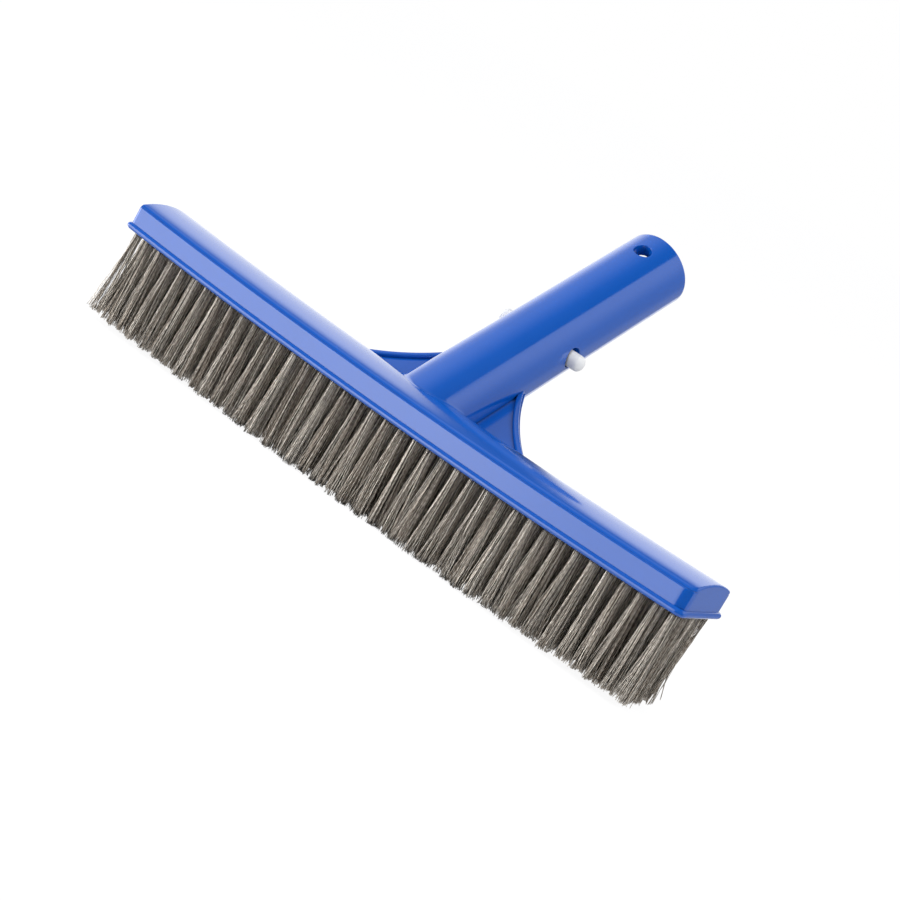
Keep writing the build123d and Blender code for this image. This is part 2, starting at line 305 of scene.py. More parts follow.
def smooth_piece(name, points, faces, merge, drop_slivers=False):
    """A smooth mesh object of points, in millimetres, and four-cornered faces.

    Points within merge of each other become one, and the faces are turned outwards. Edges
    sharper than sharp_edge stay sharp.
    """
    sharp_edge = math.radians(38.0)
    mesh = bpy.data.meshes.new(name)
    mesh.from_pydata((points * millimetre).tolist(), [], faces.tolist())
    shell = bmesh.new()
    shell.from_mesh(mesh)
    bmesh.ops.remove_doubles(shell, verts=shell.verts, dist=merge * millimetre)
    if drop_slivers:
        bmesh.ops.dissolve_degenerate(shell, edges=shell.edges, dist=merge * millimetre)
    bmesh.ops.recalc_face_normals(shell, faces=shell.faces)
    shell.to_mesh(mesh)
    shell.free()
    mesh.shade_smooth()
    mesh.set_sharp_from_angle(angle=sharp_edge)
    piece = bpy.data.objects.new(name, mesh)
    bpy.context.scene.collection.objects.link(piece)
    return piece


def joined_grids(grids):
    """Points and faces of several grids of points, as one set."""
    points, faces, start = [], [], 0
    for grid in grids:
        rows, columns = grid.shape[:2]
        points.append(grid.reshape(-1, 3))
        faces.append(loop_faces(rows, columns, start))
        start += rows * columns
    return np.concatenate(points), np.concatenate(faces)


# The section's rows, from the middle of the underside out and round to the crown's ridge:
# each is an inset at the ends and at the sides, a corner radius for each end and a height
# over the flange's underside. The ledge beside the crown is only on the long sides.
edge_sin, edge_cos = quarter(7)
head_rows = [(inset, inset, flange_corner, 0.0) for inset in underside_insets]
for s, c in zip(edge_sin, edge_cos):
    inset = flange_round * (1 - s)
    head_rows.append((inset, inset, flange_corner, flange_round * (1 - c)))
for s, c in zip(edge_sin[:-1], edge_cos[:-1]):
    inset = flange_round * (1 - c)
    head_rows.append((inset, inset, flange_corner, flange_height - flange_round * (1 - s)))
for lift in wall_lifts:
    head_rows.append((flange_overhang, flange_overhang, wall_corner, flange_height + lift))
for s, c in zip(edge_sin, edge_cos):
    side_inset = flange_overhang + wall_round * (1 - c)
    head_rows.append((flange_overhang, side_inset, wall_corner, wall_top - wall_round * (1 - s)))
head_surface = []
for end_inset, side_inset, corners, height in head_rows:
    plan = rounded_ring(end_inset, side_inset, corners)
    head_surface.append(np.column_stack([plan, np.full(len(plan), head_base + height)]))
# The crown's rows: the arch, less a quarter circle's drop beside the edge, which is bigger
# at the sides than at the ends. The crown's foot is hidden below the ledge on the long sides.
end_share = crown_end_round / crown_round
crown_to = crown_half_width + crown_hidden - crown_ridge_gap
crown_insides = np.concatenate(
    [
        crown_round * (1 - quarter(crown_edge_rows)[1]),
        np.linspace(crown_round + crown_row_gap, crown_to, crown_arch_rows),
    ]
)
for inside in crown_insides:
    if inside < crown_round:
        end_inset = flange_overhang + inside * end_share
    else:
        end_inset = flange_overhang + inside - crown_round + crown_end_round
    corners = [corner - crown_corner_less - inside for corner in wall_corner]
    plan = rounded_ring(end_inset, crown_inset - crown_hidden + inside, corners)
    past = np.abs(plan[:, 0]) - (head_half_length - end_inset - crown_end_fade)
    at_end = np.clip(past / crown_end_fade, 0.0, 1.0)
    drop = crown_drop(inside) * (1 - (1 - end_share) * at_end)
    height = crown_side + crown_arch(plan[:, 1]) - drop
    head_surface.append(np.column_stack([plan, head_base + np.maximum(height, wall_top)]))
head_surface = np.stack(head_surface)
head_surface[..., 2] += bow_rise(head_surface[..., 0])
head = smooth_piece("brush_head_moulding", *joined_grids([head_surface]), merge=0.002)


def moulded_skin():
    """A group for moulded plastic: a faint orange-peel height, and a patchy gloss mask.

    Height is three times a broad noise plus a fine one; Gloss is the broad noise, about one
    half.
    """
    group = bpy.data.node_groups.new("moulded_skin", "ShaderNodeTree")
    for label, value in (("Broad", 60.0), ("Fine", 700.0)):
        socket = group.interface.new_socket(label, in_out="INPUT", socket_type="NodeSocketFloat")
        socket.default_value = value
    for label in ("Height", "Gloss"):
        group.interface.new_socket(label, in_out="OUTPUT", socket_type="NodeSocketFloat")
    given = add_node(group, "NodeGroupInput")
    place = add_node(group, "ShaderNodeTexCoord")
    noises = [
        add_node(
            group,
            "ShaderNodeTexNoise",
            {"Vector": place.outputs["Object"], "Scale": given.outputs[label], "Detail": detail},
        ).outputs["Fac"]
        for label, detail in (("Broad", 2.0), ("Fine", 3.0))
    ]
    height = worked_out(group, "MULTIPLY_ADD", noises[0], 3.0, noises[1])
    add_node(group, "NodeGroupOutput", {"Height": height, "Gloss": noises[0]})
    return group


skin = moulded_skin()


def mixed_colour(tree, factor, first, second):
    """The colour between two colours at a factor."""
    inputs = {"Factor": factor, "A": first, "B": second}
    return add_node(tree, "ShaderNodeMix", inputs, data_type="RGBA").outputs["Result"]


def with_painted_shade(tree, colour, reach, samples, shut, clear, least):
    """A colour with painted shade: it falls to its least share where things within reach
    shut out the light.

    It is full where the share of light that comes in is over clear, and least under shut.
    """
    crease = add_node(tree, "ShaderNodeAmbientOcclusion", {"Distance": reach}, samples=samples)
    span = {"Value": crease.outputs["AO"], "From Min": shut, "From Max": clear, "To Min": least}
    shade = add_node(tree, "ShaderNodeMapRange", span).outputs["Result"]
    inputs = {0: colour, "Scale": shade}
    return add_node(tree, "ShaderNodeVectorMath", inputs, operation="SCALE").outputs["Vector"]


def plastic(name, deep, pale, rough, broad, fine, sockets):
    """Moulded plastic: deep and pale are its colour's two ends, mixed by a broad noise.

    Its creases are darker by painted shade. Sockets are the values that are the same all
    over it.
    """
    bump = 0.02
    bump_height = 0.0001
    shiniest, dullest = rough - 0.02, rough + 0.03
    material = bpy.data.materials.new(name)
    material.use_nodes = True
    tree = material.node_tree
    surface = add_node(tree, "ShaderNodeGroup", {"Broad": broad, "Fine": fine}, node_tree=skin)
    patchy = surface.outputs["Gloss"]
    tint = mixed_colour(tree, patchy, deep, pale)
    # Painted shade: the colour is darker in creases.
    colour = with_painted_shade(tree, tint, reach=0.0012, samples=8, shut=0.25, clear=0.85, least=0.35)
    gloss = add_node(
        tree, "ShaderNodeMapRange", {"Value": patchy, "To Min": shiniest, "To Max": dullest}
    )
    relief = add_node(
        tree,
        "ShaderNodeBump",
        {"Strength": bump, "Distance": bump_height, "Height": surface.outputs["Height"]},
    )
    finish = {
        "Base Color": colour,
        "Roughness": gloss.outputs["Result"],
        "Normal": relief.outputs["Normal"],
    }
    set_inputs(tree, tree.nodes["Principled BSDF"], {**sockets, **finish})
    return material


blue_plastic = plastic(
    "blue_moulded_plastic",
    deep=(0.0028, 0.093, 0.480, 1.0),
    pale=(0.0036, 0.103, 0.525, 1.0),
    rough=0.12,
    broad=60.0,
    fine=700.0,
    sockets={"IOR": 1.8, "Specular IOR Level": 0.95},
)
head.data.materials.append(blue_plastic)
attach(head, "brush")
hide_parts("brush_head")

# ---------------------------------------------------------------------------
# The handle: part of the same moulding, a tube that leaves the crown at an angle. Its root
# tapers a little, and its straight end is what the pole takes. A small fillet runs round
# where it meets the head, and there is a hole for each button and a cross hole at the end.
handle_angle = math.radians(36.0)
handle_foot = 7.2  # where its axis leaves the flange's underside, back from the middle
handle_origin = np.array([0.0, handle_foot, head_base])
along_axis = np.array([0.0, math.cos(handle_angle), math.sin(handle_angle)])
upward_axis = np.array([0.0, -math.sin(handle_angle), math.cos(handle_angle)])
sideways_axis = np.array([1.0, 0.0, 0.0])
tube_radius = 14.25
tube_draft = math.tan(math.radians(0.25))
tube_straight_from = 73.5
tube_end = 134.4
tube_rim = 0.7
bore_radius = 9.75
bore_floor = 28.0
root_middle = 10.0  # where the root's radius sets its columns and its flat foot
root_search = (-6.0, 40.0)  # where along the tube it comes out of the head
root_halvings = 40
root_sink = 1.0
root_end = 46.0
fillet_reach = 1.4  # of the fillet along the tube and along the crown
fillet_margin = 0.8  # in from the crown's back edge, where the fillet begins
fillet_fade = 3.0  # length over which it grows to its full reach
fillet_forward = 3.0  # of its middle, from the middle of the meeting
window = 6.0  # half the side of the patch of wall that is drawn round each hole
window_steps = 12
window_offsets = np.linspace(-window, window, window_steps + 1)
button_hole_at = 68.65
button_hole_radius = 3.95
button_hole_edge = 0.5
end_hole_at = 122.6
end_hole_radius = 3.5
end_hole_edge = 0.2
touch = 0.01  # keeps neighbouring rows apart


def outer_radius(along):
    """Radius of the tube's outside: straight at the end, with draft towards the root."""
    return tube_radius + np.maximum(tube_straight_from - along, 0.0) * tube_draft


def column_angles(radius):
    """Angles of the tube's columns, from its upper side round through +X.

    Round each of four hole directions they are the arcsines of even offsets over the
    radius, and between those they are even steps.
    """
    radius = np.asarray(radius)[..., None]
    half = np.arcsin(window / radius)
    gap = np.linspace(0.0, 1.0, 8)[1:-1]
    columns = []
    for quarter_turn in range(4):
        middle = quarter_turn * math.pi / 2
        columns.append(middle + np.arcsin(window_offsets / radius))
        columns.append(middle + half + (math.pi / 2 - 2 * half) * gap)
    return np.concatenate(columns, -1)


def handle_points(across, along, lift):
    """Points by their distance out along X, along the handle and up square to both."""
    across, along, lift = np.broadcast_arrays(across, along, lift)
    return (
        handle_origin
        + along[..., None] * along_axis
        + across[..., None] * sideways_axis
        + lift[..., None] * upward_axis
    )


def tube_points(along, radius, angle):
    """Points at a distance along the axis, at a radius and an angle from its upper side."""
    return handle_points(radius * np.sin(angle), along, radius * np.cos(angle))


def crown_height(x, y):
    """Height of the crown's surface: its bow and arch, less the rounding of its side edge."""
    drop = crown_drop(crown_half_width + crown_hidden - np.abs(y))
    return head_base + crown_side + crown_arch(y) - drop + bow_rise(x)


def outside_head(points):
    """Whether points are above the crown or behind the head's wall."""
    behind = points[..., 1] > head_half_width - flange_overhang
    return (points[..., 2] > crown_height(points[..., 0], points[..., 1])) | behind


root_angles = column_angles(outer_radius(root_middle))
# Where each column comes out of the head, found by halving the interval, and where it is
# at the height of the handle's flat foot, which is level with the flange's top.
low, high = (np.full(root_angles.shape, end) for end in root_search)
for _ in range(root_halvings):
    middle = (low + high) / 2
    outside = outside_head(tube_points(middle, outer_radius(middle), root_angles))
    low, high = np.where(outside, low, middle), np.where(outside, middle, high)
foot_rise = flange_height - outer_radius(root_middle) * np.cos(root_angles) * upward_axis[2]
foot_along = foot_rise / along_axis[2]
on_foot = foot_along > high
root_start = np.maximum(high, foot_along)
meeting = tube_points(root_start, outer_radius(root_start), root_angles)
# The fillet is a curve from the crown up to the tube that bends at their meeting. It is
# full on the crown, and fades to nothing at the crown's rounded back edge.
fade = np.clip((crown_half_width - fillet_margin - meeting[:, 1]) / fillet_fade, 0.0, 1.0)
fade = np.where(on_foot, 0.0, fade * fade * (3 - 2 * fade))
fillet_middle = meeting[fade > 0.5][:, :2].mean(0) + np.array([0.0, fillet_forward])
away = meeting[:, :2] - fillet_middle
away /= np.linalg.norm(away, axis=1, keepdims=True)
fillet_foot = meeting.copy()
fillet_foot[:, :2] += away * (fillet_reach * fade + touch)[:, None]
on_crown = np.minimum(fillet_foot[:, 1], crown_half_width)
fillet_foot_height = crown_height(fillet_foot[:, 0], on_crown) - 2 * touch
fillet_foot[:, 2] = np.where(fade > 0.0, fillet_foot_height, meeting[:, 2])
fillet_top_along = root_start + fillet_reach * fade + touch
fillet_top = tube_points(fillet_top_along, outer_radius(fillet_top_along), root_angles)
fillet_rows = [
    (1 - t) ** 2 * fillet_foot + 2 * t * (1 - t) * meeting + t**2 * fillet_top
    for t in np.linspace(0.0, 1.0, 9)
]
root_rows = []
for share in np.linspace(0.0, 1.0, 9)[1:]:
    along = fillet_top_along * (1 - share) + root_end * share
    root_rows.append(tube_points(along, outer_radius(along), root_angles))
# Below the fillet the root goes on down inside the head, and a flat foot closes it.
sunk_row = fillet_foot.copy()
sunk_row[:, 2] -= np.where(on_foot, 0.0, root_sink)
foot_middle = sunk_row.mean(0)
foot_shares = (0.0, 0.35, 0.7, 0.97, 1.0)
foot_rows = [foot_middle + (sunk_row - foot_middle) * share for share in foot_shares]

# The rest of the tube, as a distance along it and a radius for each row: out to the rim,
# round the rim, and back inside to the bore's floor.
rim_from = tube_end - tube_rim
rim_lead = np.array([2.5, 0.6])
outer_along = np.concatenate(
    [
        np.linspace(root_end, button_hole_at - window, 7)[1:],
        window_offsets[1:] + button_hole_at,
        np.linspace(button_hole_at + window, end_hole_at - window, 15)[1:],
        window_offsets[1:] + end_hole_at,
        rim_from - rim_lead,
    ]
)
rim_sin, rim_cos = quarter(7)
rim_along = rim_from + tube_rim * np.concatenate([rim_sin, rim_cos])
rim_radius = np.concatenate(
    [
        tube_radius - tube_rim + tube_rim * rim_cos,
        bore_radius + tube_rim - tube_rim * rim_sin,
    ]
)
inner_along = np.concatenate(
    [
        rim_from - rim_lead[::-1],
        window_offsets[::-1] + end_hole_at,
        np.linspace(end_hole_at - window, button_hole_at + window, 15)[1:],
        window_offsets[-2::-1] + button_hole_at,
        np.linspace(button_hole_at - window, bore_floor, 12)[1:],
    ]
)
tube_along = np.concatenate([outer_along, rim_along, inner_along])
tube_radii = np.concatenate(
    [outer_radius(outer_along), rim_radius, np.full(len(inner_along), bore_radius)]
)
upper_rows = tube_points(tube_along[:, None], tube_radii[:, None], column_angles(tube_radii))
floor_rows = [
    tube_points(bore_floor, bore_radius * share, column_angles(bore_radius))
    for share in (0.66, 0.33, 0.0)
]
lower_rows = np.stack(foot_rows + fillet_rows + root_rows)
tube_rows = np.concatenate([lower_rows, upper_rows, np.stack(floor_rows)])
# Faces inside a hole's patch are left out of the tube's grid.
rows, columns = tube_rows.shape[:2]
row_along = np.full(rows, -1.0)
row_along[len(lower_rows) - 1] = root_end
row_along[len(lower_rows) : len(lower_rows) + len(tube_along)] = tube_along
tube_faces = loop_faces(rows, columns)
face_row, face_column = tube_faces[:, 0] // columns, tube_faces[:, 0] % columns
face_ends = np.stack([row_along[face_row], row_along[face_row + 1]])
face_low, face_high = face_ends.min(0), face_ends.max(0)
per_quarter = columns // 4
quarter_index = face_column // per_quarter
in_columns = face_column % per_quarter < window_steps


def face_in_patch(middle, quarters):
    """Which of the tube's faces lie in the patch round a hole at a distance along it."""
    inside = (face_low > middle - window - touch) & (face_high < middle + window + touch)
    return inside & in_columns & np.isin(quarter_index, quarters)


cut = face_in_patch(button_hole_at, (1, 3)) | face_in_patch(end_hole_at, (0, 2))


def hole_patch(middle, turn, hole_radius, hole_edge):
    """The wall round one hole, outside, through and inside, as rows of a closed grid.

    The outer rows blend a square outline into the hole's circle. Each point has an offset
    across and along; it lies on a circle of the tube's radius over that offset.
    """
    side, edge = window_offsets[:-1], np.full(window_steps, window)
    square = np.concatenate(
        [
            np.column_stack([side, -edge]),
            np.column_stack([edge, side]),
            np.column_stack([-side, edge]),
            np.column_stack([-edge, -side]),
        ]
    )
    circle = square / np.linalg.norm(square, axis=1, keepdims=True)

    def place(offset, radius, depth):
        flat = np.sqrt(radius**2 - offset[:, 0] ** 2) - depth
        return handle_points(
            offset[:, 0] * math.cos(turn) + flat * math.sin(turn),
            middle + offset[:, 1],
            flat * math.cos(turn) - offset[:, 0] * math.sin(turn),
        )

    blend_shares = (0.0, 0.25, 0.5, 0.75, 0.92, 1.0)
    rows_out = []
    for share in blend_shares:
        offset = square * (1 - share) + circle * (hole_radius + hole_edge) * share
        rows_out.append(place(offset, outer_radius(middle + offset[:, 1]), 0.0))
    round_sin, round_cos = quarter(5)
    for s, c in zip(round_sin[1:], round_cos[1:]):
        offset = circle * (hole_radius + hole_edge * (1 - s))
        rows_out.append(place(offset, outer_radius(middle + offset[:, 1]), hole_edge * (1 - c)))
    for share in blend_shares[::-1]:
        offset = square * (1 - share) + circle * hole_radius * share
        rows_out.append(place(offset, bore_radius, 0.0))
    return np.stack(rows_out)


patches = [
    hole_patch(middle, turn, hole_radius, hole_edge)
    for middle, turns, hole_radius, hole_edge in (
        (button_hole_at, (math.pi / 2, -math.pi / 2), button_hole_radius, button_hole_edge),
        (end_hole_at, (0.0, math.pi), end_hole_radius, end_hole_edge),
    )
    for turn in turns
]
patch_points, patch_faces = joined_grids(patches)
handle = smooth_piece(
    "handle_moulding",
    np.concatenate([tube_rows.reshape(-1, 3), patch_points]),
    np.concatenate([tube_faces[~cut], patch_faces + rows * columns]),
    merge=0.004,
    drop_slivers=True,
)
handle.data.materials.append(blue_plastic)
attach(handle, "brush")
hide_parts("handle_root", "handle_spigot")

# ---------------------------------------------------------------------------
# The gussets: a thin web each side between the handle and the back of the head, with a
# thick rounded rim along its hollow outer edge. They are part of the same moulding.
gusset_drop = 2.7
gusset_curve_middle = np.array([87.0, 82.0])
gusset_curve_radius = 82.7
web_from, web_to = 7.0, 42.0  # along the handle
web_half = 1.2
web_inner = 8.0  # where the web begins, inside the tube's wall
web_least = 9.0
web_in_rim = 0.6  # how far the web goes into the rim
rim_width = 2.2
rim_half = 2.5
rim_corner = 0.7
rim_top = (14.0, 42.5)  # across and along, where the rim's curve begins and ends
rim_foot = (50.0, 7.5)


def gusset_points(across, along, lift):
    """Points of a gusset: the handle's, with its own drop, but never below the flange's top."""
    points = handle_points(across, along, lift - gusset_drop)
    lowest = head_base + flange_height + bow_rise(points[..., 0])
    points[..., 2] = np.maximum(points[..., 2], lowest)
    return points


def closed_sweep(rows_between):
    """Rows of a sweep with all of a row at one point at each end, so the shell is closed."""
    across = rows_between.shape[1]
    first = rows_between[:1].mean(1, keepdims=True).repeat(across, 1)
    last = rows_between[-1:].mean(1, keepdims=True).repeat(across, 1)
    return np.concatenate([first, rows_between, last])


def rounded_section(near, far, half, corner, steps):
    """A rectangle from near to far and half each way, its corners quarter circles."""
    turn = np.linspace(0.0, math.pi / 2, steps)
    arcs = []
    for middle, side, begin in (
        (far - corner, 1, 0.0), (near + corner, 1, 0.5),
        (near + corner, -1, 1.0), (far - corner, -1, 1.5),
    ):
        angle = begin * math.pi + turn
        arc_out = middle + corner * np.cos(angle)
        arc_side = side * (half - corner) + corner * np.sin(angle)
        arcs.append(np.column_stack([arc_out, arc_side]))
    return np.concatenate(arcs)


web_along = np.linspace(web_from, web_to, 40)[:, None]
web_curve = gusset_curve_radius**2 - (gusset_curve_middle[1] - web_along) ** 2
web_edge = gusset_curve_middle[0] - np.sqrt(web_curve)
web_share = np.linspace(0.0, 1.0, 5)
web_across = web_inner + (np.maximum(web_edge, web_least) + web_in_rim - web_inner) * web_share
web_loop = np.concatenate([web_across, web_across[:, ::-1]], 1)
web = closed_sweep(gusset_points(web_loop, web_along, np.repeat([web_half, -web_half], 5)))

# The rim's section is a rounded rectangle, carried along the curve.
rim_section = rounded_section(0.0, rim_width, rim_half, rim_corner, 6)
curve_from, curve_to = (
    math.atan2(along - gusset_curve_middle[1], across - gusset_curve_middle[0])
    for across, along in (rim_top, rim_foot)
)
curve_angle = np.linspace(curve_from, curve_to, 60)[:, None]
rim_reach = gusset_curve_radius + rim_section[:, 0]
rim = closed_sweep(
    gusset_points(
        gusset_curve_middle[0] + rim_reach * np.cos(curve_angle),
        gusset_curve_middle[1] + rim_reach * np.sin(curve_angle),
        rim_section[:, 1],
    )
)
for side, sign in (("right", 1.0), ("left", -1.0)):
    mirror = np.array([sign, 1.0, 1.0])
    gusset = smooth_piece(
        f"gusset_{side}_moulding", *joined_grids([web * mirror, rim * mirror]), merge=0.001
    )
    gusset.data.materials.append(blue_plastic)
    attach(gusset, "brush")
    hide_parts(f"gusset_{side}")

# ---------------------------------------------------------------------------
# The spring clip: a strip of translucent white plastic bent to a U and pushed into the
# bore. Each arm ends in the bore and carries a domed button that stands out of its hole.
clip_half_width = 4.0
clip_thickness = 1.8
clip_corner = 0.3
clip_gap = 0.3  # to the bore's wall and floor, and between the bend and an arm
arm_length = 36.0
arm_outer = math.sqrt((bore_radius - clip_gap) ** 2 - clip_half_width**2)
arm_middle = arm_outer - clip_thickness / 2
bend_at = bore_floor + clip_gap + arm_outer
arm_from = bend_at + clip_gap + clip_thickness / 2
arm_to = arm_from + arm_length
button_at = 68.0
button_radius = 3.05
button_tip = tube_radius + 5.4
button_dome = 1.9
button_bevel = 0.06
dome_from = 0.93  # share of the dome's angle where the bevel ends
arm_straight_rows = 13
arm_end_back = np.array([0.3, 0.08, 0.0])  # of the last three rows from the free end
arm_end_share = (0.95, 0.8)  # of the last two rows' thickness

clip_plastic = plastic(
    "white_clip_plastic",
    deep=(0.80, 0.81, 0.83, 1.0),
    pale=(0.87, 0.88, 0.90, 1.0),
    rough=0.34,
    broad=90.0,
    fine=500.0,
    sockets={
        "Subsurface Weight": 0.35,
        "Subsurface Radius": (0.0012, 0.0012, 0.0012),
        "Subsurface Scale": 1.0,
    },
)

# The bend is the strip's section, a rounded rectangle, carried round half a circle.
clip_half = clip_thickness / 2
strip_section = rounded_section(-clip_half, clip_half, clip_half_width, clip_corner, 4)
bend_angle = np.linspace(math.pi, 2 * math.pi, 41)[:, None]
bend_reach = arm_middle + strip_section[:, 0]
bend_rows = handle_points(
    bend_reach * np.cos(bend_angle), bend_at + bend_reach * np.sin(bend_angle), strip_section[:, 1]
)
bend = smooth_piece("clip_bend_strip", *joined_grids([closed_sweep(bend_rows)]), merge=0.002)
bend.data.materials.append(clip_plastic)
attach(bend, "brush")
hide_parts("clip_bend")

# The button's outline, from inside the arm out to the middle of its dome, turned round: a
# straight shank, a small bevel and a circle's cap.
dome_radius = (button_radius**2 + button_dome**2) / (2 * button_dome)
dome_half = math.asin(button_radius / dome_radius)
dome_angle = np.linspace(dome_half * dome_from, 0.0, 12)
shank_out = arm_middle + np.array([0.0, 0.5, 3.0, 5.0, 7.0, 9.0])
bevel_out = button_tip - button_dome - np.array([0.35, 0.05])
dome_out = button_tip - dome_radius * (1 - np.cos(dome_angle))
button_out = np.concatenate([shank_out, bevel_out, dome_out])
shank_reach = np.full(len(shank_out) + 1, button_radius)
shank_reach[0] = 0.0
button_reach = np.concatenate(
    [shank_reach, [button_radius - button_bevel], dome_radius * np.sin(dome_angle)]
)
button_turn = np.linspace(0.0, 2 * math.pi, 40, endpoint=False)
# An arm's rows: its lower end is rounded, as its rows shrink by a quarter circle, and its
# free end has a small bevel.
end_sin, end_cos = quarter(6)
arm_rows_along = np.concatenate(
    [
        arm_from - clip_half * end_sin[::-1],
        np.linspace(arm_from, arm_to - arm_end_back[0], arm_straight_rows + 1)[1:],
        arm_to - arm_end_back[1:],
    ]
)
arm_rows_share = np.concatenate([end_cos[::-1], np.ones(arm_straight_rows), arm_end_share])
for side, sign in (("right", 1.0), ("left", -1.0)):
    mirror = np.array([sign, 1.0, 1.0])
    strip = handle_points(
        arm_middle + strip_section[:, 0] * arm_rows_share[:, None],
        arm_rows_along[:, None],
        strip_section[:, 1],
    )
    button = handle_points(
        button_out[:, None],
        button_at + button_reach[:, None] * np.cos(button_turn),
        button_reach[:, None] * np.sin(button_turn),
    )
    arm = smooth_piece(
        f"clip_arm_{side}_with_button",
        *joined_grids([closed_sweep(strip) * mirror, button * mirror]),
        merge=0.001,
    )
    arm.data.materials.append(clip_plastic)
    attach(arm, f"clip_arm_{side}")
    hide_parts(f"clip_arm_{side}")

# ---------------------------------------------------------------------------
# The tufts: bundles of fine crimped stainless wire, doubled over a flat steel anchor and
# driven into blind holes in the head. Five rows of them, set square, are trimmed to a brush
# face that follows the bow. A bundle is tight at its root and splays in a few locks.
row_spacing = 5.95
tuft_pitch = 6.344
tuft_rows = 5
row_tufts = 40
wires_per_tuft = 110
locks_per_tuft = 5
root_reach = 1.6
root_depth = 1.2  # of the wires in the head's underside
wire_radius = 0.12
wire_steps = 12
wire_sides = 3
lock_place = (0.5, 1.0)  # of a lock's middle, as a share of the tuft's radius
lock_mixing = 0.12  # how far from its nearest lock a wire may join another
tip_splay = 1.38  # a tip's distance from the tuft's middle, in times its root's
tuft_lean = (0.45, 0.35)  # spreads along X and Y, as the next two and belly
lock_lean = (0.5, 0.4)
lock_splay = (0.75, 0.6)
wire_lean = 0.5
odd_wires = 0.03  # share of the wires that lean by odd_lean more
odd_lean = 1.8
wire_trim = 0.1  # how short of the lowest tips every wire is
lock_uneven = 0.5  # how much shorter still a lock is, on average, and a wire of it
wire_uneven = 0.55
most_uneven = 3.5
face_drop = 0.5  # of the lowest tips, below the bow's curve
tip_least = 0.05
belly = (0.5, 0.3)
crimp_height = 0.17
crimp_waves = (24.0, 34.0)  # in radians, from root to tip
crimp_turns = 6.28  # a crimp begins anywhere in about a full turn, and faces any way
tip_ease = 1.45
# Painted shade: a wire's tone is lower at its tuft's middle and higher towards its outside.
painted_shade_middle_tone, painted_light_outside_tone = 0.38, 0.26  # at a tuft's middle, and added towards its outside
tone_spread = (0.12, 0.16, 0.3)  # between tufts, locks and wires
end_lean_shares = (0.1, 1.5)  # how much of an end tuft's lean a lock of it takes
chance = np.random.default_rng(20260)

# Each wire has its own tone, and a painted highlight glints in turn along its crimps. Wires
# that are deep in a bundle or in a gap are darker by painted shade, and so is a tuft's middle.
wire_metal = bpy.data.materials.new("stainless_wire")
wire_metal.use_nodes = True
metal = wire_metal.node_tree
painted_glint_phase = 190.0
painted_glint_waves = 2800.0  # in radians to the metre of height
painted_glint_strength = 0.32
wire_tone_and_shade = add_node(metal, "ShaderNodeAttribute", attribute_name="wire_tone_and_shade").outputs["Fac"]
wire_place = add_node(metal, "ShaderNodeTexCoord")
wire_split = add_node(metal, "ShaderNodeSeparateXYZ", {0: wire_place.outputs["Object"]})
wire_phase = worked_out(metal, "MULTIPLY", wire_tone_and_shade, painted_glint_phase)
wire_turn = worked_out(metal, "MULTIPLY_ADD", wire_split.outputs["Z"], painted_glint_waves, wire_phase)
painted_glint_wave = worked_out(metal, "SINE", wire_turn)
# Painted highlight: a glint that runs along each wire with its height.
wire_painted_glint = worked_out(
    metal, "MULTIPLY_ADD", painted_glint_wave, painted_glint_strength, wire_tone_and_shade, use_clamp=True
)
wire_tint = mixed_colour(
    metal, wire_painted_glint, (0.46, 0.385, 0.315, 1.0), (1.0, 0.93, 0.835, 1.0)
)
# Painted shade: wires deep in a bundle or in a gap are darker.
wire_colour_with_painted_light = with_painted_shade(
    metal, wire_tint, reach=0.003, samples=6, shut=0.24, clear=0.46, least=0.03
)
wire_rough = add_node(
    metal, "ShaderNodeMapRange", {"Value": wire_tone_and_shade, "To Min": 0.42, "To Max": 0.26}
)
set_inputs(
    metal,
    metal.nodes["Principled BSDF"],
    {"Metallic": 0.5, "Base Color": wire_colour_with_painted_light, "Roughness": wire_rough.outputs["Result"]},
)


